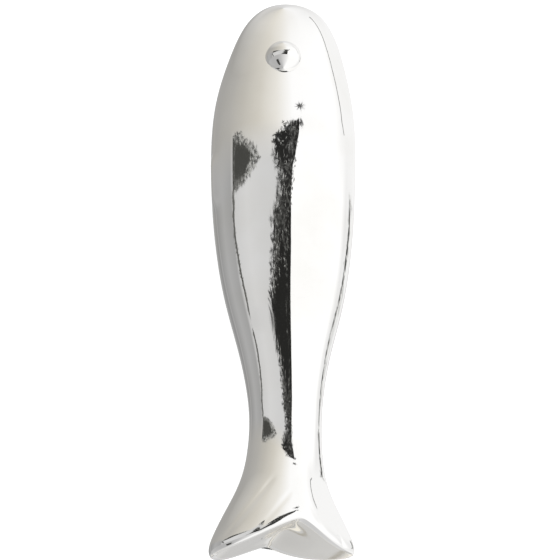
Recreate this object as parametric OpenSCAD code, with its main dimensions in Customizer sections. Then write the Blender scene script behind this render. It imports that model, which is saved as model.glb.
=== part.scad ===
// A weighted fish ornament of pressed, silver-plated half shells, lying on its flank.
// The fish lies along Y with its snout towards +Y. Its back is towards -X and its belly towards +X.
// Z is up, z = 0 is the face it rests on, and the origin is under the middle of its length.

/* [Body] */
// Length from the tail tips to the snout
body_length = 220; // [180:1:260]
// Height of the body, back to belly
body_height = 55; // [46:1:66]
// Thickness of the body, flank to flank
body_thickness = 43; // [36:1:52]

/* [Tail] */
// How far the lobes reach past the middle of the notch
notch_depth = 8; // [5:0.5:10]
// How much further the back lobe reaches than the belly lobe, each way from the mean
notch_skew = 3.5; // [0:0.5:4]
// Radius that rounds the middle of the notch
notch_round = 1.5; // [1:0.5:4]
// How much thinner the belly lobe is than the back lobe, as a part of its thickness
belly_thinning = 0.42; // [0:0.02:0.5]
// Depth of the bowl in the end plate
bowl_depth = 1.2; // [0:0.1:3]
// Diameter of the bowl in the end plate
bowl_diameter = 23; // [16:1:25]

/* [Fins and rays] */
// Height of the low fin on each edge
fin_rise = 1; // [0:0.25:1.5]
// Length of each fin
fin_length = 24; // [14:1:30]
// Depth of the deepest fin ray in the tail
ray_depth = 0.4; // [0:0.05:0.5]
// Width of a fin ray
ray_width = 1.6; // [1.2:0.1:2.4]

/* [Eyes] */
// Diameter of an eye
eye_diameter = 13.5; // [10:0.5:14]
// Height of an eye above the flank
eye_rise = 5.4; // [3:0.1:6]
// Place of an eye, counted in outline stations from the tail
eye_station = 12.78; // [12.5:0.01:13.2]
// Turn of the eye from the middle of the flank towards the back, in degrees
eye_turn = 20; // [0:1:24]
// Diameter of an eye shank
shank_diameter = 3.8; // [3:0.1:4.5]

/* [Shells] */
// Wall of the pressed shells and of the end plate
wall = 1.2; // [0.8:0.1:1.4]
// Width of the lap strip inside each seam
strip_width = 4; // [3:0.5:5]
// Thickness of the lap strips
strip_thickness = 0.8; // [0.5:0.1:0.9]

/* [Filling] */
// Diameter of the steel rod in the filling
rod_diameter = 6; // [4:0.5:8]
// Diameter of the filling hole
plug_diameter = 12; // [8:1:14]

/* [Pads] */
// Least thickness of the pads
pad_thickness = 1.2; // [0.8:0.1:2]
// Diameter of the pad under the body
body_pad_diameter = 18; // [12:1:22]
// Length and width of the pad under the tail
tail_pad_size = [16, 6]; // [4:1:26]
// How far the pad under the tail is set back from where the tail is thickest
tail_pad_setback = 1.5; // [0:0.5:4]

/* [Hidden] */
$fn = 64;

// Outline stations from the lip of the tail opening to the snout: place along the length, height,
// thickness and sideways drift of the middle, each in percent: the place of the length, the height
// and the drift of the body's height, the thickness of its thickness.
OUTLINE = [
    [5, 87, 60, 0], [5, 91.5, 68, 0], [5.1, 94.5, 75.5, 0], [6.6, 97.5, 74, -0.7],
    [10.5, 79.5, 66, -0.6],
    [14.5, 55, 56, 0], [19.5, 47, 53, 0.7], [26, 45.5, 53, 0.7], [35.5, 58.5, 65, -0.5],
    [44.5, 81, 81, -1.3], [56, 94.5, 95, -1.9], [67.5, 99.5, 100, -2.5], [79, 100, 98, -2],
    [88, 84.5, 84, -0.5], [95, 68.5, 68, 0.7], [98.5, 50.5, 53, 1.5], [100, 33, 35, 1.7],
    [100, 0, 0, 1.5]];
SCALE = [body_length, body_height / 2, body_thickness / 2, body_height] / 100;
LAST = len(OUTLINE) - 1;
BACK = 180;
BELLY = 0;
TOP = 90;
BOTTOM = 270;

// Where the sweep of the notch into the tail dies out, and over what length
sweep_end = 0.26 * body_length;
sweep_length = 0.21 * body_length;
half_span = body_height * 0.48;
// Fin rays from their inner to their outer end, as distance from the middle of the flank towards the
// belly and from the tail tips, and each one's depth as a part of the deepest
RAYS = [[[-7, 28], [-24, 4], 1], [[-1.5, 23], [-15, 5], 0.35], [[1, 20], [8, 10], 0.15],
        [[7, 24], [19, 7], 0.5]];
// Middle of the fin on the back and on the belly, as distance from the tail tips
fin_back = 0.645 * body_length;
fin_belly = 0.695 * body_length;
fin_spread = 2.5;

// Rings per station and columns per half turn of the shells
rings = 3;
columns = 24;
// Clearance between neighbouring pieces, and a length that reaches past any one wall
gap = 0.1;
through = 10;

MIRROR = [1, -1, -1, 1];
function place(i) = i < 0 ? 2 * place(0) - place(1)
    : [for (k = [0:3]) OUTLINE[min(i, 2 * LAST - i)][k] * SCALE[k] * (i > LAST ? MIRROR[k] : 1)];
// Cubic spline along the stations: distance from the tail tips, half height, half thickness, drift
function outline(u) =
    let (i = min(floor(u), LAST - 1), f = u - i)
    (pow(1 - f, 3) * place(i - 1) + (3 * pow(f, 3) - 6 * f * f + 4) * place(i)
     + (3 * f + 3 * f * f - 3 * pow(f, 3) + 1) * place(i + 1) + pow(f, 3) * place(i + 2)) / 6;
function smooth(f) = let (c = min(max(f, 0), 1)) c * c * (3 - 2 * c);
// How far the tail reaches past the middle of the notch at the distance x from it
function notch(x) = (notch_depth - notch_skew * x / half_span)
    * sin(90 * (norm([x, notch_round]) - notch_round) / half_span);
function bump(d) = exp(-d * d);
function fin(y, z, middle) = fin_rise * bump(z / fin_spread)
    * smooth(2.5 - 5 * abs(y - middle) / fin_length);
// Depth of one ray at a point of the tail: full along its line, and faded at its inner end
function ray(p, line) =
    let (run = line[1] - line[0], f = min(max((p - line[0]) * run / (run * run), 0), 1))
    line[2] * bump(2 * norm(p - line[0] - f * run) / ray_width) * smooth(4 * f);
function rays(p) = ray_depth * max([for (line = RAYS) ray(p, line)]);

// Thickness left in the belly lobe, as a part of that of the outline
function belly_lobe(y, a) =
    1 - belly_thinning * smooth(cos(a)) * smooth((sweep_end - y) / sweep_length);

// Point of the outer surface at the station u and the turn a around the fish
function skin(u, a) =
    let (q = outline(u),
         edge = cos(a) < 0 ? fin(q.x, q.z * sin(a), fin_back) : fin(q.x, q.z * sin(a), fin_belly),
         x = q[3] + q.y * cos(a) + sign(cos(a)) * edge,
         y = q.x - smooth((sweep_end - q.x) / sweep_length) * notch(x))
    [x, y, (q.z * belly_lobe(q.x, a) - rays([x, y])) * sin(a)];
// Outward normal there
function normal(u, a) = u >= LAST ? [0, 1, 0]
    : let (n = cross(skin(u, a + 0.5) - skin(u, a - 0.5), skin(u + 0.02, a) - skin(max(u - 0.02, 0), a)))
      -n / norm(n);
function under(u, a, depth) = skin(u, a) - depth * normal(u, a);

function quad(a, b, c, d) = [[a, b, c], [a, c, d]];
function flat_list(lists) = [for (l = lists) each l];
function reversed(faces) = [for (f = faces) [f[2], f[1], f[0]]];

// A curved sheet that follows the surface between two depths, from the turn a0 to a1 and from the
// station u0 to u1. It closes over the snout where u1 is the last station.
module curved_sheet(a0, a1, cols, depth0, depth1, u0, u1, rows) {
    snout = u1 >= LAST;
    last_row = snout ? rows - 1 : rows;
    loop = 2 * cols + 2;
    points = flat_list([for (r = [0:last_row]) [for (j = [0:loop - 1])
        let (k = j <= cols ? j : loop - 1 - j)
        under(u0 + (u1 - u0) * r / rows, a0 + (a1 - a0) * k / cols, j <= cols ? depth0 : depth1)]]);
    poles = [under(LAST, a0, depth0), under(LAST, a0, depth1)];
    end = last_row * loop;
    tip = len(points);
    sides = flat_list([for (r = [0:last_row - 1], j = [0:loop - 1]) let (n = (j + 1) % loop)
        quad(r * loop + j, r * loop + n, (r + 1) * loop + n, (r + 1) * loop + j)]);
    cap = flat_list([for (j = [0:cols - 1]) quad(j, loop - 1 - j, loop - 2 - j, j + 1)]);
    far_cap = [for (f = reversed(cap)) [for (v = f) v + end]];
    snout_cap = concat(
        [for (j = [0:cols - 1]) [end + j, end + j + 1, tip]],
        [for (j = [cols + 1:loop - 2]) [end + j, end + j + 1, tip + 1]],
        quad(end + cols, end + cols + 1, tip + 1, tip),
        quad(end + loop - 1, end, tip, tip + 1));
    polyhedron(snout ? concat(points, poles) : points, concat(sides, cap, snout ? snout_cap : far_cap));
}

// A solid skinned over closed rings of points, with a pole at each end
module skinned(first, loops, last) {
    n = len(loops[0]);
    rows = len(loops);
    points = concat([first], flat_list(loops), [last]);
    sides = flat_list([for (r = [0:rows - 2], j = [0:n - 1]) let (k = (j + 1) % n)
        quad(1 + r * n + j, 1 + r * n + k, 1 + (r + 1) * n + k, 1 + (r + 1) * n + j)]);
    near_fan = [for (j = [0:n - 1]) [0, 1 + (j + 1) % n, 1 + j]];
    end = 1 + (rows - 1) * n;
    far_fan = [for (j = [0:n - 1]) [end + j, end + (j + 1) % n, end + n]];
    polyhedron(points, concat(near_fan, sides, far_fan));
}

// Puts the fish down on its flank, so that its body and its tail both touch the pads, and its
// widest part is centred across the origin
BODY_REST = outline(10.8);
TAIL_REST = outline(2.45);
lay_angle = atan((BODY_REST.z - TAIL_REST.z) / (BODY_REST.x - TAIL_REST.x));
lay_height = pad_thickness + BODY_REST.z * cos(lay_angle)
    - (BODY_REST.x - body_length / 2) * sin(lay_angle);
module laid_down()
    translate([-BODY_REST[3], 0, lay_height]) rotate([lay_angle, 0, 0])
        translate([0, -body_length / 2, 0]) children();

// Puts a fitting on the skin, with its own Z along the outward normal
module on_skin(u, a) {
    n = normal(u, a);
    translate(skin(u, a)) rotate([0, atan2(n.x, n.z), 0]) rotate([-asin(n.y), 0, 0]) children();
}

// Radius across the fish of the crest of a flank, at a ring of the outline
function crest(ring) = ring.y * ring.y / ring.z;
// The filling hole's station, and the radius of the flank there and at the eyes
plug_station = 9.2;
plug_seat = crest(outline(plug_station));
eye_seat = crest(outline(eye_station));
// How far a flank of the radius r falls away at the distance d from its crest
function fall(r, d) = r - sqrt(r * r - d * d);

module half_shell(a0, eye_a) difference() {
    curved_sheet(a0, a0 + 180, columns, 0, wall, 0, LAST, LAST * rings);
    on_skin(eye_station, eye_a) cylinder(h = through, d = shank_diameter + 2 * gap, center = true);
}
module flank_shell_upper() color("silver") laid_down() half_shell(BELLY, TOP + eye_turn);
module flank_shell_lower() color("silver") laid_down() difference() {
    half_shell(BACK, BOTTOM - eye_turn);
    on_skin(plug_station, BOTTOM) cylinder(h = through, d = plug_diameter, center = true);
}

// Lap strips behind the seams, which the shells are soldered to, between two stations
STRIP_ENDS = [3, 14];
strip_rows = rings * (STRIP_ENDS[1] - STRIP_ENDS[0]);
strip_depth = wall + gap;
strip_turn = asin(strip_width / body_thickness / 0.7);
module seam_strip(a) laid_down()
    curved_sheet(a - strip_turn, a + strip_turn, 2, strip_depth, strip_depth + strip_thickness,
        STRIP_ENDS[0], STRIP_ENDS[1], strip_rows);
module seam_strip_back() color("goldenrod") seam_strip(BACK);
module seam_strip_belly() color("goldenrod") seam_strip(BELLY);

// The plate that closes the tail, set inside the lip of the two shells, with a round bowl in it
LIP = outline(0);
function bowl(r) = bowl_depth * (1 - smooth(2 * r / bowl_diameter));
function plate_point(c, a, depth) =
    let (x = c * (LIP.y - gap) * cos(a), z = c * (LIP.z * belly_lobe(LIP.x, a) - gap) * sin(a))
    [x, LIP.x - notch(x) + bowl(norm([x, z])) + depth, z];
function plate_loops(rings, depth) = [for (c = rings) [for (a = [0:10:350]) plate_point(c, a, depth)]];
module tail_end_plate() color("lightgray") laid_down() skinned(
    plate_point(0, 0, 0),
    concat(plate_loops([0.125:0.125:1], 0), plate_loops([1:-0.125:0.125], wall)),
    plate_point(0, 0, wall));

// An eye: a domed head bedded on the flank, with a shank through the shell
eye_bed = fall(eye_seat, eye_diameter / 2) + gap;
eye_height = eye_rise + eye_bed;
eye_radius = (eye_diameter * eye_diameter / 4 + eye_height * eye_height) / (2 * eye_height);
shank_length = wall + 2;
module eye() {
    difference() {
        intersection() {
            translate([0, 0, eye_rise - eye_radius]) sphere(eye_radius);
            translate([0, 0, -eye_bed]) cylinder(h = eye_height, d = eye_diameter);
        }
        translate([0, 0, -eye_seat]) rotate([90, 0, 0])
            cylinder(h = 2 * eye_diameter, r = eye_seat + gap / 4, center = true, $fn = 180);
    }
    translate([0, 0, -shank_length]) cylinder(h = shank_length + eye_rise / 2, d = shank_diameter);
}
washer_diameter = 2.4 * shank_diameter;
washer_thickness = 0.5;
module eye_washer() {
    drop = wall + fall(eye_seat - wall, washer_diameter / 2) + gap;
    translate([0, 0, -drop - washer_thickness]) difference() {
        cylinder(h = washer_thickness, d = washer_diameter);
        cylinder(h = through, d = shank_diameter + gap / 2, center = true);
    }
}
module eye_upper() color("gainsboro") laid_down() on_skin(eye_station, TOP + eye_turn) eye();
module eye_lower() color("gainsboro") laid_down() on_skin(eye_station, BOTTOM - eye_turn) eye();
module eye_washer_upper() color("dimgray") laid_down() on_skin(eye_station, TOP + eye_turn) eye_washer();
module eye_washer_lower() color("dimgray") laid_down() on_skin(eye_station, BOTTOM - eye_turn) eye_washer();

// The cast filling, which backs the shells from the tail to behind the head
core_from = 4;
core_to = 11.5;
core_rows = 24;
plug_length = wall + 1;
function core_depth(a) = wall + 2 * gap + (strip_thickness + 2 * gap) * pow(cos(a), 12);
function core_loop(u) = [for (a = [0:15:345]) under(u, a, core_depth(a))];
module weight_core() color("tan") laid_down() difference() {
    skinned([0, outline(core_from).x, 0],
        [for (r = [0:core_rows]) core_loop(core_from + (core_to - core_from) * r / core_rows)],
        [0, outline(core_to).x, 0]);
    translate([0, -1, 0]) rotate([-90, 0, 0]) cylinder(h = body_length, d = rod_diameter + 2 * gap);
    on_skin(plug_station, BOTTOM) translate([0, 0, -plug_length - 2 * gap])
        cylinder(h = plug_length, d = plug_diameter + 4 * gap);
}
module core_rod() color("slategray") laid_down()
    translate([0, outline(core_from + 1).x, 0]) rotate([-90, 0, 0])
        cylinder(h = outline(core_to).x - outline(core_from + 1).x, d = rod_diameter);

// The plug of the filling hole, with its face flush with the flank
module fill_plug() color("silver") laid_down() on_skin(plug_station, BOTTOM) intersection() {
    translate([0, 0, -plug_length]) cylinder(h = plug_length + 1, d = plug_diameter - 2 * gap);
    translate([0, 0, -plug_seat]) rotate([90, 0, 0])
        cylinder(h = 2 * plug_diameter, r = plug_seat, center = true, $fn = 180);
}

// A pad under the ring of the outline, flat below and hollowed above to fit the flank, and set back
// from the ring towards the snout
module rest_pad(ring, half_width, setback) {
    seat = crest(ring);
    height = pad_thickness + fall(seat, half_width);
    along = (ring.x - body_length / 2) * cos(lay_angle) + ring.z * sin(lay_angle) + setback;
    translate([ring[3] - BODY_REST[3], along, 0]) difference() {
        linear_extrude(height) children();
        translate([0, 0, pad_thickness + seat]) rotate([90, 0, 0])
            cylinder(h = 2 * body_pad_diameter, r = seat + gap / 4, center = true, $fn = 180);
    }
}
module rest_pad_body() color("darkslategray") rest_pad(BODY_REST, body_pad_diameter / 2, 0)
    circle(d = body_pad_diameter);
module rest_pad_tail() color("darkslategray") rest_pad(TAIL_REST, tail_pad_size.x / 2, tail_pad_setback)
    square(tail_pad_size, center = true);

flank_shell_upper();
flank_shell_lower();
seam_strip_back();
seam_strip_belly();
tail_end_plate();
eye_upper();
eye_lower();
eye_washer_upper();
eye_washer_lower();
weight_core();
core_rod();
fill_plug();
rest_pad_body();
rest_pad_tail();
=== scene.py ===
"""The looks of a mirror-polished silver fish ornament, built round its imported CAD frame.

The high-resolution pieces repeat the CAD model's own shape functions in millimetres in the fish's frame:
Y from the tail tips to the snout, Z through its flanks, X from its back to its belly.
laid_down() puts them, in metres, where the CAD model lies.
"""
import math
import random

import bpy
import numpy as np
from mathutils import Matrix, Vector


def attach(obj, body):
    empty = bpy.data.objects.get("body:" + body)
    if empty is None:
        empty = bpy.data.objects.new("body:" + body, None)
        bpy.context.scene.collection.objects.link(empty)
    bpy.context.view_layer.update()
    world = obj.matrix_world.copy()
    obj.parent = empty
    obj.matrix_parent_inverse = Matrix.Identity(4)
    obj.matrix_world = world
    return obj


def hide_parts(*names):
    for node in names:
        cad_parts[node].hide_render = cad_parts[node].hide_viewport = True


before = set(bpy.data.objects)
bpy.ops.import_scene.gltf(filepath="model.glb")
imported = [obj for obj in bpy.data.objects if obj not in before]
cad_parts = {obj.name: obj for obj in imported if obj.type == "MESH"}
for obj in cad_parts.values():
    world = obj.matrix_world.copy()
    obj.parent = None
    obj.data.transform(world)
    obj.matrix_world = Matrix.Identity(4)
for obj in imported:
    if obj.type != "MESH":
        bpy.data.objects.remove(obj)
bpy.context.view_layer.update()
MM = 0.001

# ---------------------------------------------------------------- the fish's own shape, in millimetres
LENGTH, HEIGHT, THICKNESS = 220.0, 55.0, 43.0
# Outline stations from the tail opening to the snout, in percent: place along the length, height,
# thickness, and sideways drift of the middle as a part of the height. A separate program fitted them to
# the photograph's silhouette. They were fitted to the photograph's silhouette, rounded, and the first
# five were then changed.
OUTLINE = np.array([
    (5, 87, 60, 0), (5, 91.5, 68, 0), (5.1, 94.5, 75.5, 0), (6.6, 97.5, 74, -0.7), (10.5, 79.5, 66, -0.6),
    (14.5, 55, 56, 0), (19.5, 47, 53, 0.7), (26, 45.5, 53, 0.7), (35.5, 58.5, 65, -0.5),
    (44.5, 81, 81, -1.3), (56, 94.5, 95, -1.9), (67.5, 99.5, 100, -2.5), (79, 100, 98, -2),
    (88, 84.5, 84, -0.5), (95, 68.5, 68, 0.7), (98.5, 50.5, 53, 1.5), (100, 33, 35, 1.7),
    (100, 0, 0, 1.5)])
STATIONS = OUTLINE * (LENGTH / 100, HEIGHT / 200, THICKNESS / 200, HEIGHT / 100)
LAST = len(STATIONS) - 1
SPLINE = np.vstack([2 * STATIONS[0] - STATIONS[1], STATIONS, STATIONS[-2] * (1, -1, -1, 1)])
BELLY, TOP, BACK, BOTTOM = 0, 90, 180, 270
NOTCH_DEPTH, NOTCH_SKEW, NOTCH_ROUND, BELLY_THINNING = 8.0, 3.5, 1.5, 0.42
HALF_SPAN = HEIGHT * 0.48
SWEEP_END, SWEEP_LENGTH = 0.26 * LENGTH, 0.21 * LENGTH
FIN_RISE, FIN_LENGTH, FIN_SPREAD = 1.0, 24.0, 2.5
FIN_BACK, FIN_BELLY = 0.645 * LENGTH, 0.695 * LENGTH
# Fin rays: inner and outer end across and along the tail, and each one's part of the full depth. The
# ends were worked out from the photograph in the same way, and rounded.
RAYS = (((-7, 28), (-24, 4), 1.0), ((-1.5, 23), (-15, 5), 0.35), ((1, 20), (8, 10), 0.15),
        ((7, 24), (19, 7), 0.5))
RAY_DEPTH, RAY_WIDTH = 0.4, 1.6
WALL, GAP, PAD_THICKNESS = 1.2, 0.1, 1.2
BOWL_DEPTH, BOWL_DIAMETER = 1.2, 23.0
EYE_DIAMETER, EYE_RISE, EYE_STATION, EYE_TURN, SHANK_DIAMETER = 13.5, 5.4, 12.78, 20, 3.8
PLUG_DIAMETER, PLUG_STATION = 12.0, 9.2
# Only in the looks: the fine groove left along the soldered seams, and the bead of the tail's lip
SEAM_DEPTH, SEAM_WIDTH, LIP_BEAD = 0.16, 0.22, 0.45


def smooth(f):
    c = np.clip(f, 0, 1)
    return c * c * (3 - 2 * c)


def outline(u):
    """Distance from the tail tips, half height, half thickness and drift at the station u."""
    u = np.asarray(u, float)
    i = np.minimum(u.astype(int), LAST - 1)
    f = (u - i)[..., None]
    return ((1 - f) ** 3 * SPLINE[i] + (3 * f ** 3 - 6 * f ** 2 + 4) * SPLINE[i + 1]
            + (1 + 3 * f + 3 * f ** 2 - 3 * f ** 3) * SPLINE[i + 2] + f ** 3 * SPLINE[i + 3]) / 6


def notch(x):
    """How far the tail reaches past the middle of its notch at the distance x from it."""
    run = np.hypot(x, NOTCH_ROUND) - NOTCH_ROUND
    return (NOTCH_DEPTH - NOTCH_SKEW * x / HALF_SPAN) * np.sin(np.pi / 2 * run / HALF_SPAN)


def fin(y, z, middle):
    return FIN_RISE * np.exp(-(z / FIN_SPREAD) ** 2) * smooth(2.5 - 5 * abs(y - middle) / FIN_LENGTH)


def rays(x, y):
    """Depth of the fin rays at a point of the tail: full along each line, faded at its inner end."""
    depth = np.zeros_like(x)
    for (x0, y0), (x1, y1), share in RAYS:
        run = np.array((x1 - x0, y1 - y0), float)
        f = np.clip(((x - x0) * run[0] + (y - y0) * run[1]) / run.dot(run), 0, 1)
        away = np.hypot(x - x0 - f * run[0], y - y0 - f * run[1])
        depth = np.maximum(depth, share * np.exp(-(2 * away / RAY_WIDTH) ** 2) * smooth(4 * f))
    return RAY_DEPTH * depth


def belly_lobe(y, a):
    """Thickness left in the belly lobe of the tail, as a part of that of the outline."""
    return 1 - BELLY_THINNING * smooth(np.cos(a)) * smooth((SWEEP_END - y) / SWEEP_LENGTH)


def skin(u, a):
    """Points of the outer surface at the station u and the turn a, in degrees, round the fish."""
    u, a = np.broadcast_arrays(np.asarray(u, float), np.radians(np.asarray(a, float)))
    q = outline(u)
    y, half_height, half_thick, drift = (q[..., k] for k in range(4))
    z = half_thick * np.sin(a)
    edge = np.where(np.cos(a) < 0, fin(y, z, FIN_BACK), fin(y, z, FIN_BELLY))
    x = drift + half_height * np.cos(a) + np.sign(np.cos(a)) * edge
    thick = half_thick * belly_lobe(y, a)
    y = y - smooth((SWEEP_END - y) / SWEEP_LENGTH) * notch(x)
    return np.stack([x, y, (thick - rays(x, y)) * np.sin(a)], axis=-1)


def normals(u, a):
    """Outward unit normals of the skin."""
    u, a = np.broadcast_arrays(np.asarray(u, float), np.asarray(a, float))
    ahead = skin(np.minimum(u + 0.02, LAST), a) - skin(np.maximum(u - 0.02, 0), a)
    n = -np.cross(skin(u, a + 0.5) - skin(u, a - 0.5), ahead)
    size = np.linalg.norm(n, axis=-1, keepdims=True)
    return np.where((u >= LAST)[..., None], (0.0, 1.0, 0.0), n / np.maximum(size, 1e-12))


BODY_REST, TAIL_REST = outline(10.8), outline(2.45)
LAY = math.atan((BODY_REST[2] - TAIL_REST[2]) / (BODY_REST[0] - TAIL_REST[0]))
LAY_HEIGHT = (PAD_THICKNESS + BODY_REST[2] * math.cos(LAY)
              - (BODY_REST[0] - LENGTH / 2) * math.sin(LAY))


def turned(v):
    """Directions of the fish's own frame, turned as the fish lies."""
    c, s = math.cos(LAY), math.sin(LAY)
    v = np.asarray(v, float)
    return np.stack([v[..., 0], c * v[..., 1] - s * v[..., 2], s * v[..., 1] + c * v[..., 2]], axis=-1)


def laid_down(p):
    """Points of the fish's own frame, in metres in the part's frame, as the fish lies on its flank."""
    return (turned(np.asarray(p, float) - (0, LENGTH / 2, 0)) + (-BODY_REST[3], 0, LAY_HEIGHT)) * MM


def on_skin(u, a):
    """Function that takes points of a fitting, with its own Z along the outward normal, to the fish."""
    n = normals(u, a)
    around, back = math.atan2(n[0], n[2]), -math.asin(n[1])
    turn = np.array(Matrix.Rotation(around, 3, "Y") @ Matrix.Rotation(back, 3, "X"))
    return lambda points: np.asarray(points, float) @ turn.T + skin(u, a)


# ---------------------------------------------------------------- mesh helpers
SHARP = math.radians(38)


def make_mesh(name, points, faces):
    """A mesh object of those points and faces, shaded smooth but for its sharp edges."""
    mesh = bpy.data.meshes.new(name)
    mesh.from_pydata([tuple(p) for p in points], [], faces)
    mesh.update()
    mesh.shade_smooth()
    mesh.set_sharp_from_angle(angle=SHARP)
    obj = bpy.data.objects.new(name, mesh)
    bpy.context.scene.collection.objects.link(obj)
    return obj


def lathed(name, profile, place, sides=96):
    """A closed solid of revolution about a fitting's Z axis. profile runs from the lower pole to the
    upper pole as (radius, height), and both its ends have the radius 0."""
    turns = 2 * math.pi * np.arange(sides) / sides
    rings = [np.stack([r * np.cos(turns), r * np.sin(turns), np.full(sides, z)], axis=-1)
             for r, z in profile[1:-1]]
    points = np.vstack([[(0, 0, profile[0][1])]] + rings + [[(0, 0, profile[-1][1])]])
    faces, end = [], 1 + (len(rings) - 1) * sides
    for j in range(sides):
        k = (j + 1) % sides
        faces.append((0, 1 + k, 1 + j))
        faces.append((end + j, end + k, end + sides))
        for r in range(len(rings) - 1):
            p = 1 + r * sides
            faces.append((p + j, p + k, p + sides + k, p + sides + j))
    return make_mesh(name, laid_down(place(points)), faces)


def bored(obj, *bores):
    """obj with round holes cut through it; a bore is (place, diameter, half its length)."""
    cutters = []
    for place, diameter, reach in bores:
        r = diameter / 2
        cutter = lathed("bore", [(0, -reach), (r, -reach), (r, reach), (0, reach)], place)
        modifier = obj.modifiers.new("bore", "BOOLEAN")
        modifier.object = cutter
        modifier.operation = "DIFFERENCE"
        modifier.solver = "EXACT"
        cutters.append(cutter)
    evaluated = obj.evaluated_get(bpy.context.evaluated_depsgraph_get())
    mesh = bpy.data.meshes.new_from_object(evaluated)
    obj.modifiers.clear()
    obj.data = mesh
    mesh.shade_smooth()
    mesh.set_sharp_from_angle(angle=SHARP)
    for cutter in cutters:
        bpy.data.objects.remove(cutter)
    return obj


def finished(obj, material, slot, *nodes):
    """A piece that stands for CAD nodes, with its material and its body; slot is not used."""
    obj.data.materials.clear()
    obj.data.materials.append(material)
    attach(obj, "root")
    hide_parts(*nodes)


# ---------------------------------------------------------------- materials
def node_material(name):
    material = bpy.data.materials.new(name)
    material.use_nodes = True
    tree = material.node_tree
    return material, tree, tree.nodes["Principled BSDF"]


def add(tree, kind, **values):
    """A shader node of that kind with its inputs or properties set."""
    made = tree.nodes.new(kind)
    for key, value in values.items():
        if key in made.inputs:
            made.inputs[key].default_value = value
        else:
            setattr(made, key, value)
    return made


def noise(tree, scale, detail=4.0, stretch=(1, 1, 1)):
    """The factor of a noise laid on the object's own coordinates."""
    place = add(tree, "ShaderNodeTexCoord")
    mapping = add(tree, "ShaderNodeMapping", Scale=stretch)
    pattern = add(tree, "ShaderNodeTexNoise", Scale=scale, Detail=detail)
    tree.links.new(place.outputs["Object"], mapping.inputs["Vector"])
    tree.links.new(mapping.outputs["Vector"], pattern.inputs["Vector"])
    return pattern.outputs["Fac"]


def between(tree, factor, low, high, start=0.3, stop=0.7):
    """factor, mapped from start and stop to low and high."""
    spread = add(tree, "ShaderNodeMapRange")
    for key, value in (("From Min", start), ("From Max", stop), ("To Min", low), ("To Max", high)):
        spread.inputs[key].default_value = value
    tree.links.new(factor, spread.inputs["Value"])
    return spread.outputs["Result"]


def ramp(tree, factor, stops):
    """A colour ramp over factor; stops are (place, (r, g, b)) with rising places."""
    made = tree.nodes.new("ShaderNodeValToRGB")
    while len(made.color_ramp.elements) < len(stops):
        made.color_ramp.elements.new(0.5)
    for element, (place, colour) in zip(made.color_ramp.elements, stops):
        element.position = place
        element.color = (*colour, 1)
    tree.links.new(factor, made.inputs["Fac"])
    return made.outputs["Color"]


def bumps(tree, shader, *layers):
    """Bump layers on the shader, each (height, strength, distance in metres)."""
    below = None
    for height, strength, distance in layers:
        bump = add(tree, "ShaderNodeBump", Strength=strength, Distance=distance)
        tree.links.new(height, bump.inputs["Height"])
        if below:
            tree.links.new(below, bump.inputs["Normal"])
        below = bump.outputs["Normal"]
    tree.links.new(below, shader.inputs["Normal"])


def polished_silver(name, bright, dull, rough_low, rough_high):
    """Mirror silver with faint clouds of tarnish, wiping marks and a soft unevenness of the plating."""
    material, tree, shader = node_material(name)
    shader.inputs["Metallic"].default_value = 1.0
    cloud = noise(tree, 38, 5)
    tree.links.new(ramp(tree, cloud, [(0.3, dull), (0.55, bright)]), shader.inputs["Base Color"])
    wiping = noise(tree, 220, 3, (1, 0.12, 1))
    tree.links.new(between(tree, wiping, rough_low, rough_high, 0.35, 0.75), shader.inputs["Roughness"])
    bumps(tree, shader,
          (noise(tree, 60, 2, (1, 0.6, 1)), 0.12, 0.0006),
          (noise(tree, 900, 4, (1, 0.08, 1)), 0.05, 0.00002))
    return material


def cast_or_rolled(name, metallic, colours, roughness, grain, stretch, depth):
    """A plain solid's material: a grained colour, roughness that follows it, and a fine relief."""
    material, tree, shader = node_material(name)
    shader.inputs["Metallic"].default_value = metallic
    pattern = noise(tree, grain, 6, stretch)
    tree.links.new(ramp(tree, pattern, [(0.35, colours[0]), (0.65, colours[1])]),
                   shader.inputs["Base Color"])
    tree.links.new(between(tree, pattern, *roughness), shader.inputs["Roughness"])
    bumps(tree, shader, (pattern, 0.4, depth))
    return material


SILVER = polished_silver("mirror_silver", (0.975, 0.97, 0.96), (0.93, 0.92, 0.895), 0.02, 0.06)
EYE_SILVER = polished_silver("eye_silver", (0.97, 0.965, 0.95), (0.92, 0.905, 0.88), 0.015, 0.05)
PLATE_SILVER = polished_silver("plate_silver", (0.93, 0.915, 0.88), (0.84, 0.81, 0.75), 0.05, 0.14)
CAD_MATERIALS = {
    cast_or_rolled("plug_silver", 1.0, ((0.9, 0.88, 0.85), (0.96, 0.95, 0.93)), (0.06, 0.2),
                   400, (1, 0.2, 1), 0.00003): ["fill_plug"],
    cast_or_rolled("strip_brass", 1.0, ((0.55, 0.38, 0.14), (0.83, 0.62, 0.28)), (0.25, 0.5),
                   300, (1, 0.05, 1), 0.00004): ["seam_strip_back", "seam_strip_belly"],
    cast_or_rolled("washer_steel", 1.0, ((0.42, 0.41, 0.4), (0.6, 0.59, 0.57)), (0.25, 0.45),
                   900, (1, 1, 1), 0.00003): ["eye_washer_upper", "eye_washer_lower"],
    cast_or_rolled("rod_steel", 1.0, ((0.3, 0.28, 0.26), (0.52, 0.5, 0.48)), (0.3, 0.6),
                   250, (1, 0.05, 1), 0.00005): ["core_rod"],
    cast_or_rolled("filling", 0.0, ((0.5, 0.45, 0.37), (0.66, 0.61, 0.53)), (0.8, 0.95),
                   160, (1, 1, 1), 0.0003): ["weight_core"],
    cast_or_rolled("pad_rubber", 0.0, ((0.03, 0.035, 0.035), (0.07, 0.075, 0.075)), (0.6, 0.85),
                   700, (1, 1, 1), 0.0001): ["rest_pad_body", "rest_pad_tail"],
}
for material, nodes in CAD_MATERIALS.items():
    for node in nodes:
        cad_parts[node].data.materials.clear()
        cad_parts[node].data.materials.append(material)


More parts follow.
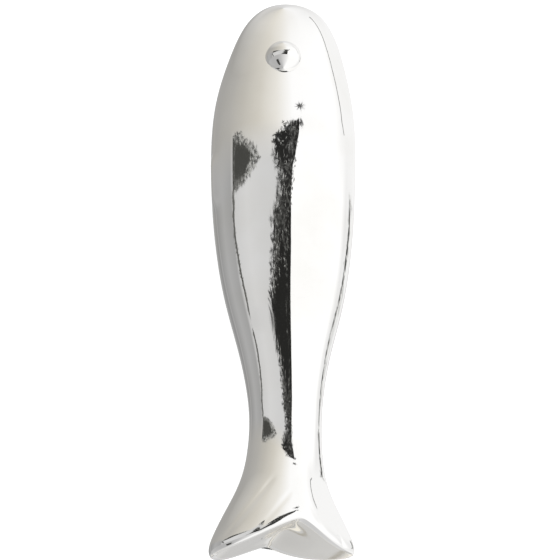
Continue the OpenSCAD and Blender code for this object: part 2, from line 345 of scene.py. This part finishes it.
# ---------------------------------------------------------------- the shells
RINGS, STEP = 12, 2.0
# Turns from one seam to the other, closer together at the seams for the groove
NEAR_SEAM = [0, 0.3, 0.6, 1.0, 1.5, 2.2, 3.0]
TURNS = np.concatenate([NEAR_SEAM, np.arange(4.0, 176.5, STEP), 180 - np.array(NEAR_SEAM[::-1])])
BEAD_STEPS = 6


def grooved(u, a0):
    """The outer surface of a half shell, drawn in along both of its seams."""
    a = a0 + TURNS[None, :]
    from_seam = np.radians(np.minimum(TURNS, 180 - TURNS))[None, :] * outline(u)[..., 2]
    depth = SEAM_DEPTH * np.exp(-(from_seam / SEAM_WIDTH) ** 2)
    return skin(u, a) - depth[..., None] * normals(u, a)


def half_shell(name, a0):
    """A pressed half shell as one closed sheet: outer face, inner face, beaded lip and seam edges."""
    rows = LAST * RINGS
    u = np.linspace(0, LAST, rows + 1)[:-1, None]
    outer = grooved(u, a0)
    n = normals(u, a0 + TURNS[None, :])
    inner = skin(u, a0 + TURNS[None, :]) - WALL * n
    ahead = outer[1] - outer[0]
    ahead /= np.linalg.norm(ahead, axis=-1, keepdims=True)
    bead = []
    for k in range(1, BEAD_STEPS):
        t = math.pi * k / BEAD_STEPS
        middle = (outer[0] + inner[0]) / 2 + math.cos(t) * (outer[0] - inner[0]) / 2
        bead.append(middle - LIP_BEAD * math.sin(t) * ahead)
    # The sheet's rows run from the snout over the outer face, round the lip and back inside
    sheet = np.concatenate([outer[::-1], bead, inner])
    across, count = len(TURNS), len(sheet)
    pole = skin(LAST, a0)
    points = np.vstack([sheet.reshape(-1, 3), [pole], [pole - (0, WALL, 0)]])
    tip, inner_tip = len(points) - 2, len(points) - 1
    faces = []
    for r in range(count - 1):
        for k in range(across - 1):
            p = r * across + k
            faces.append((p, p + 1, p + across + 1, p + across))
    last = (count - 1) * across
    for k in range(across - 1):
        faces.append((k + 1, k, tip))
        faces.append((last + k, last + k + 1, inner_tip))
    # Each seam edge joins the outer row to the inner row at the same station
    for k, turn in ((0, 1), (across - 1, -1)):
        def at(r):
            return r * across + k
        pairs = [(tip, inner_tip)] + [(at(r), at(count - 1 - r)) for r in range(count // 2)]
        for (o0, i0), (o1, i1) in zip(pairs, pairs[1:]):
            face = [o0, o1, i1, i0] if o1 != i1 else [o0, o1, i0]
            faces.append(tuple(face[::turn]))
        o, i = pairs[-1]
        if i - o == 2 * across:
            faces.append((o, o + across, i)[::turn])
    return make_mesh(name, laid_down(points), faces)


EYES = {"upper": on_skin(EYE_STATION, TOP + EYE_TURN), "lower": on_skin(EYE_STATION, BOTTOM - EYE_TURN)}
PLUG = on_skin(PLUG_STATION, BOTTOM)
EYE_BORE = (SHANK_DIAMETER + 2 * GAP, 4.0)
finished(bored(half_shell("shell_upper", BELLY), (EYES["upper"], *EYE_BORE)),
         SILVER, "mirror_silver", "flank_shell_upper")
finished(bored(half_shell("shell_lower", BACK), (EYES["lower"], *EYE_BORE), (PLUG, PLUG_DIAMETER, 4.0)),
         SILVER, "mirror_silver", "flank_shell_lower")


# ---------------------------------------------------------------- the end plate
def end_plate():
    """The dished plate that closes the tail, seated in the lip, as a closed sheet."""
    lip = outline(0)
    reach = np.linspace(0, 1, 33)[1:, None]
    a = np.radians(np.arange(0, 360, 2.5))[None, :]
    x = reach * (lip[1] - GAP) * np.cos(a)
    z = reach * (lip[2] * belly_lobe(lip[0], a) - GAP) * np.sin(a)
    y = lip[0] - notch(x) + BOWL_DEPTH * (1 - smooth(2 * np.hypot(x, z) / BOWL_DIAMETER))
    near = np.stack([x, y, z], axis=-1)
    far = near + (0, WALL, 0)
    sheet = np.concatenate([near, far[::-1]])
    around, count = a.shape[1], len(sheet)
    centre = (0, lip[0] + BOWL_DEPTH, 0)
    points = np.vstack([sheet.reshape(-1, 3), [centre], [np.add(centre, (0, WALL, 0))]])
    first, last = len(points) - 2, (count - 1) * around
    faces = []
    for j in range(around):
        k = (j + 1) % around
        faces.append((first, k, j)[::-1])
        faces.append((last + j, last + k, first + 1)[::-1])
        for r in range(count - 1):
            p = r * around
            faces.append((p + j, p + k, p + around + k, p + around + j)[::-1])
    return make_mesh("end_plate", laid_down(points), faces)


finished(end_plate(), PLATE_SILVER, "plate_silver", "tail_end_plate")


# ---------------------------------------------------------------- the eyes
def eye(side):
    """A domed eye bedded in the flank, with its shank through the shell."""
    seat = outline(EYE_STATION)
    crest, radius = seat[1] ** 2 / seat[2], EYE_DIAMETER / 2
    bed = crest - math.sqrt(crest ** 2 - radius ** 2) + GAP
    rise = EYE_RISE + bed
    ball = (radius ** 2 + rise ** 2) / (2 * rise)
    start = math.asin(radius / ball)
    dome = [(ball * math.sin(t), EYE_RISE - ball + ball * math.cos(t))
            for t in np.linspace(start, 0, 40)]
    dome[-1] = (0, EYE_RISE)
    shank, under = SHANK_DIAMETER / 2, -WALL - 2
    stem = [(0, under), (shank, under), (shank, -bed - 0.2), (radius, -bed - 0.2)]
    return lathed("eye_" + side, stem + dome, EYES[side])


for side in EYES:
    finished(eye(side), EYE_SILVER, "eye_silver", "eye_" + side)

# ---------------------------------------------------------------- the studio
# Radius of the studio's dome, and how much lower than long a leaf is drawn on it. Cards that lie over
# others are drawn on slightly smaller radii.
SKY_RADIUS, LOW = 2.5, 0.15
LEAF_LAYER, VEIN_LAYER, SPARK_LAYER, GAP_LAYER = (SKY_RADIUS * part for part in (0.99, 0.98, 0.975, 0.97))
# Colours of the cards, from the darkest up
HANGING_DARK, LEAF_DARK = (0.02, 0.02, 0.019), (0.025, 0.025, 0.024)
UPRIGHT_DARK, UPRIGHT_LEAF = (0.05, 0.05, 0.048), (0.06, 0.06, 0.058)
BUSH_DARK, BUSH_LEAF = (0.06, 0.06, 0.055), (0.08, 0.08, 0.075)


def emitter(name, colour):
    material = bpy.data.materials.new(name)
    material.use_nodes = True
    tree = material.node_tree
    tree.nodes.clear()
    glow = add(tree, "ShaderNodeEmission", Color=(*colour, 1))
    out = tree.nodes.new("ShaderNodeOutputMaterial")
    tree.links.new(glow.outputs["Emission"], out.inputs["Surface"])
    return material


def sky_point(side, ahead, radius):
    """A point of the studio's dome. side is the angle from straight up towards +X, and ahead the
    angle towards +Y, both in degrees."""
    s, e = math.radians(side), math.radians(ahead)
    return (radius * math.sin(s) * math.cos(e), radius * math.sin(e), radius * math.cos(s) * math.cos(e))


def card(name, shapes, colour, radius=SKY_RADIUS):
    """A card of flat shapes on the studio's dome, seen only in the polish. A shape is a closed
    outline of (side, ahead) points."""
    points, faces = [], []
    for shape in shapes:
        faces.append(tuple(range(len(points), len(points) + len(shape))))
        points.extend(sky_point(*p, radius) for p in shape)
    obj = make_mesh(name, points, faces)
    obj.data.materials.append(emitter(name, colour))
    obj.visible_camera = False
    obj.visible_diffuse = False
    obj.visible_shadow = False


def strip(left, right, steps=40):
    """Shapes between two edges, each a list of (ahead, side) from low to high, with even steps."""
    low, high = left[0][0], left[-1][0]
    rows = [(e, np.interp(e, *zip(*left)), np.interp(e, *zip(*right)))
            for e in np.linspace(low, high, steps + 1)]
    return [[(l0, e0), (r0, e0), (r1, e1), (l1, e1)]
            for (e0, l0, r0), (e1, l1, r1) in zip(rows, rows[1:])]


def leaf(side, ahead, length, width, turn):
    """A pointed leaf shape on the dome, drawn low and long, since the slim fish stretches its
    reflections along itself."""
    outline_points = [(-1, 0), (-0.4, 0.8), (0.3, 1), (1, 0), (0.3, -1), (-0.4, -0.8)]
    c, s = math.cos(turn), math.sin(turn)
    return [(side + c * length * x - s * width * y, ahead + LOW * (s * length * x + c * width * y))
            for x, y in outline_points]


def foliage(wander, count, edge, reach, size):
    """Leaves scattered along an edge of (ahead, side) points, up to reach degrees to either side."""
    leaves = []
    for _ in range(count):
        ahead = wander.uniform(edge[0][0], edge[-1][0])
        side = np.interp(ahead, *zip(*edge)) + wander.uniform(-reach, reach)
        leaves.append(leaf(side, ahead, size * wander.uniform(0.5, 1.2), size * wander.uniform(0.12, 0.3),
                           wander.uniform(0, math.pi)))
    return leaves


def reflected_room():
    """Cards that imitate the dark marks reflected in the photograph: a hanging overhead with a leafy
    edge, a bush, the horizon's line on the left, and a fence and a rail on the right.

    Edges are (ahead, side) points in degrees. A separate program worked most of them out from where the
    marks lie in the photograph. They were rounded, and some were then moved."""
    wander = random.Random(11)
    left = [(0.5, -33), (2, -30), (5, -25), (9, -22), (13, -20), (16, -20), (18.5, -13),
            (20, -10), (23, -10), (25, -16), (27, -18), (28, -15), (29.5, -5), (31, 6)]
    right = [(0.5, 1), (5, 2), (13, 3), (20, 3), (24, 5), (26, 9), (29, 13), (31, 14)]
    card("hanging", strip(left, right), HANGING_DARK)
    card("hanging_leaves", foliage(wander, 200, left, 4, 4), LEAF_DARK, LEAF_LAYER)
    card("hanging_fringe", foliage(wander, 70, [(0.2, -15), (1.2, -15)], 18, 4), LEAF_DARK, LEAF_LAYER)
    card("hanging_tips", foliage(wander, 16, [(30, 8), (31.5, 12)], 7, 5), (0.03, 0.03, 0.029))
    card("hanging_star", [leaf(15, 34.3, 8, 1, 0.2 + math.pi * k / 4) for k in range(4)],
         (0.08, 0.08, 0.078))
    middle = [(1, -15), (16, -9), (22, -3), (31, 2)]
    card("hanging_veins", foliage(wander, 420, middle, 10, 2.6), (0.11, 0.11, 0.105), VEIN_LAYER)
    card("hanging_sparks", foliage(wander, 110, middle, 9, 1.4), (0.5, 0.5, 0.48), SPARK_LAYER)
    card("hanging_gaps", foliage(wander, 90, left, 5, 2.5), (0.55, 0.55, 0.54), GAP_LAYER)
    bush = [(21.5, -84), (22, -68), (23, -56), (25, -45), (26.5, -52), (28, -63), (30, -82)]
    card("bush", strip([(21.5, -88), (30, -87)], bush), BUSH_DARK)
    card("bush_leaves", foliage(wander, 130, bush, 7, 4.5), BUSH_LEAF, LEAF_LAYER)
    card("bush_veins", foliage(wander, 130, [(21.5, -78), (30, -76)], 10, 3), (0.2, 0.2, 0.19),
         VEIN_LAYER)
    card("bush_gaps", foliage(wander, 70, bush, 8, 3.5), (0.5, 0.5, 0.48), GAP_LAYER)
    skirting = [(0.5, -84), (3, -83), (10, -86), (16, -90), (22, -87)]
    card("horizon_left", strip([(e, s - 1.5) for e, s in skirting], [(e, s + 2) for e, s in skirting]),
         (0.07, 0.07, 0.065))
    card("horizon_leaves", foliage(wander, 150, skirting, 2.5, 3), (0.15, 0.15, 0.14), LEAF_LAYER)
    fence = [(13, 97, 1.5), (16, 102, 2.5), (20, 106, 3.5), (25, 108, 4), (27.5, 106, 3.5)]
    rail = [(31.5, 85, 0.8), (33, 81, 0.8), (44, 76, 0.8), (58, 68, 1), (62, 66, 2)]
    for name, line, colour in (("fence", fence, 0.07), ("rail", rail, 0.2)):
        card(name, strip([(e, s - w) for e, s, w in line], [(e, s + w) for e, s, w in line]),
             (colour, colour, colour * 0.97))
    posts = [(e, s) for e, s, w in fence]
    card("fence_gaps", foliage(wander, 60, posts, 5, 3.5), (0.75, 0.75, 0.74), LEAF_LAYER)
    card("fence_shade", foliage(wander, 60, [(13, 108), (28, 112)], 9, 5), (0.6, 0.6, 0.59))
    # Beyond the tail, thin bands meant for the polish of the end plate
    for ahead, reach, colour in ((-12, 1.2, 0.42), (-17, 1.5, 0.95), (-21.5, 1.2, 0.45)):
        card("ground_band", [[(side, ahead - reach), (side + 8, ahead - reach), (side + 8, ahead + reach),
                              (side, ahead + reach)] for side in range(140, 188, 8)],
             (colour, colour * 0.96, colour * 0.87))
    # Also beyond the tail, a dark upright that only gives other views a dark streak. Nothing in the
    # photograph shows it.
    upright = [(-62, -60), (-40, -57), (-24, -60)]
    card("upright", strip([(-62, -78), (-24, -74)], upright), UPRIGHT_DARK)
    card("upright_leaves", foliage(wander, 110, upright, 4, 5), UPRIGHT_LEAF, LEAF_LAYER)


reflected_room()


def tone(value, warm=0.0):
    """A linear colour of that brightness, warmer by the part warm."""
    return (value, value * (1 - warm * 0.3), value * (1 - warm))


def world_light():
    """Plain white light on everything but the polish, which shows the tones of the room instead.

    The tones started from the photograph's median colours by direction of reflection, which a separate
    program printed. They were made linear, rounded, and adjusted."""
    world = bpy.data.worlds.new("studio")
    bpy.context.scene.world = world
    world.use_nodes = True
    tree = world.node_tree
    background = tree.nodes["Background"]
    place = add(tree, "ShaderNodeTexCoord")
    parts = add(tree, "ShaderNodeSeparateXYZ")
    tree.links.new(place.outputs["Generated"], parts.inputs["Vector"])
    around = add(tree, "ShaderNodeMath", operation="ARCTAN2")
    tree.links.new(parts.outputs["X"], around.inputs[0])
    tree.links.new(parts.outputs["Z"], around.inputs[1])
    side = between(tree, around.outputs[0], 0, 1, -math.pi, math.pi)

    def stops(*pairs):
        return [((degrees + 180) / 360, colour) for degrees, colour in pairs]
    tones = [
        stops((-180, tone(0.6)), (-140, tone(0.5)), (-100, tone(0.45)), (-60, tone(0.47)),
              (-40, tone(0.53)), (-20, tone(0.7)), (0, tone(0.86)), (14, tone(1.04)), (78, tone(1.04)),
              (90, tone(0.88)), (110, tone(0.95)), (135, tone(0.9)), (155, tone(0.66)), (178, tone(0.6))),
        stops((-180, tone(0.4)), (-160, tone(0.28)), (-120, tone(0.42)), (-94, tone(0.37)),
              (-87, tone(0.62)), (-60, tone(0.68)), (-34, tone(0.64)), (-6, tone(0.62)), (3, tone(1.06)),
              (82, tone(1.06)), (92, tone(0.86)), (125, tone(0.92)), (150, tone(0.6)), (178, tone(0.42))),
        stops((-180, tone(0.38, 0.05)), (-140, tone(0.39, 0.06)), (-100, tone(0.44, 0.08)),
              (-70, tone(0.52, 0.12)), (-40, tone(0.65, 0.13)), (-15, tone(0.82, 0.09)), (6, tone(1.02)),
              (66, tone(1.06)), (80, tone(0.95)), (140, tone(0.95)), (165, tone(0.6)), (178, tone(0.4))),
        stops((-180, tone(0.66, 0.03)), (-120, tone(0.6, 0.05)), (-60, tone(0.7, 0.1)),
              (-40, tone(0.76, 0.12)), (-20, tone(0.83, 0.09)), (0, tone(0.9, 0.04)), (30, tone(0.96)),
              (80, tone(0.9)), (120, tone(0.8)), (178, tone(0.67)))]
    # The four zones, from low in front of the tail to past the snout, each blend into the next
    bounds = [(-3, 1), (24, 31), (48, 66)]
    room = ramp(tree, side, tones[0])
    for zone, (start, stop) in zip(tones[1:], bounds):
        reach = between(tree, parts.outputs["Y"], 0, 1, math.sin(math.radians(start)),
                        math.sin(math.radians(stop)))
        blend = add(tree, "ShaderNodeMix", data_type="RGBA")
        tree.links.new(reach, blend.inputs[0])
        tree.links.new(room, blend.inputs[6])
        tree.links.new(ramp(tree, side, zone), blend.inputs[7])
        room = blend.outputs[2]
    path = add(tree, "ShaderNodeLightPath")
    shown = add(tree, "ShaderNodeMix", data_type="RGBA")
    shown.inputs[6].default_value = (1, 1, 1, 1)
    tree.links.new(path.outputs["Is Glossy Ray"], shown.inputs[0])
    tree.links.new(room, shown.inputs[7])
    tree.links.new(shown.outputs[2], background.inputs["Color"])


world_light()


# Distances from the origin, in metres, between which the floor's painted pool of light falls off
# from glowing white to light grey
FLOOR_WHITE, FLOOR_GREY = 0.17, 0.42
FLOOR_PAINTED_GLOW, FLOOR_RADIUS, FLOOR_SIDES = 0.6, 3.0, 96


def pale_floor():
    """The floor, with a painted pool of light: it glows white round the fish, which lightens the fish's
    shadow there, and its colour darkens to light grey further out. The polish doesn't show it.
    """
    material, tree, shader = node_material("pale_floor")
    shader.inputs["Emission Color"].default_value = (1, 1, 1, 1)
    place = add(tree, "ShaderNodeTexCoord")
    away = add(tree, "ShaderNodeVectorMath", operation="LENGTH")
    tree.links.new(place.outputs["Object"], away.inputs[0])
    distance = away.outputs["Value"]
    # Painted light: the floor glows, strongest round the fish, which lightens the fish's shadow there
    tree.links.new(between(tree, distance, FLOOR_PAINTED_GLOW, 0.0, FLOOR_WHITE, FLOOR_GREY),
                   shader.inputs["Emission Strength"])
    # Painted falloff of the light: the floor's colour darkens to light grey away from the fish
    painted_falloff = [(FLOOR_WHITE, (0.93, 0.93, 0.925)), (FLOOR_GREY, (0.8, 0.8, 0.795))]
    tree.links.new(ramp(tree, distance, painted_falloff), shader.inputs["Base Color"])
    tree.links.new(between(tree, noise(tree, 30), 0.85, 0.95), shader.inputs["Roughness"])
    turns = [2 * math.pi * k / FLOOR_SIDES for k in range(FLOOR_SIDES)]
    rim = [(FLOOR_RADIUS * math.cos(t), FLOOR_RADIUS * math.sin(t), 0) for t in turns]
    floor = make_mesh("floor", rim, [tuple(range(FLOOR_SIDES))])
    floor.data.materials.append(material)
    floor.visible_glossy = False


pale_floor()


# ---------------------------------------------------------------- the camera
def set_camera():
    """The photograph's view: from above, from the tail's side and the back's, along the fish.

    The azimuth and the elevation were chosen by trial. The tilt and the framing were fitted."""
    azimuth, elevation, tilt = math.radians(-37), math.radians(56), math.radians(-0.54)
    distance, width, aside, below = 0.88, 0.2006, 0.0021, 0.0023
    back = Vector(turned((math.sin(azimuth) * math.cos(elevation),
                          -math.cos(azimuth) * math.cos(elevation), math.sin(elevation))))
    along = Vector(turned((0, 1, 0)))
    level_up = (along - along.dot(back) * back).normalized()
    level_right = level_up.cross(back)
    up = level_up * math.cos(tilt) + level_right * math.sin(tilt)
    right = level_right * math.cos(tilt) - level_up * math.sin(tilt)
    data = bpy.data.cameras.new("camera")
    data.sensor_width = 36
    data.lens = data.sensor_width * distance / width
    aim = Vector(laid_down((0, LENGTH / 2, 0))) - aside * right - below * up
    camera = bpy.data.objects.new("camera", data)
    camera.matrix_world = Matrix.Translation(aim + distance * back) @ Matrix(
        (right, up, back)).transposed().to_4x4()
    bpy.context.scene.collection.objects.link(camera)
    bpy.context.scene.camera = camera


set_camera()
bpy.context.scene.view_settings.view_transform = "Standard"
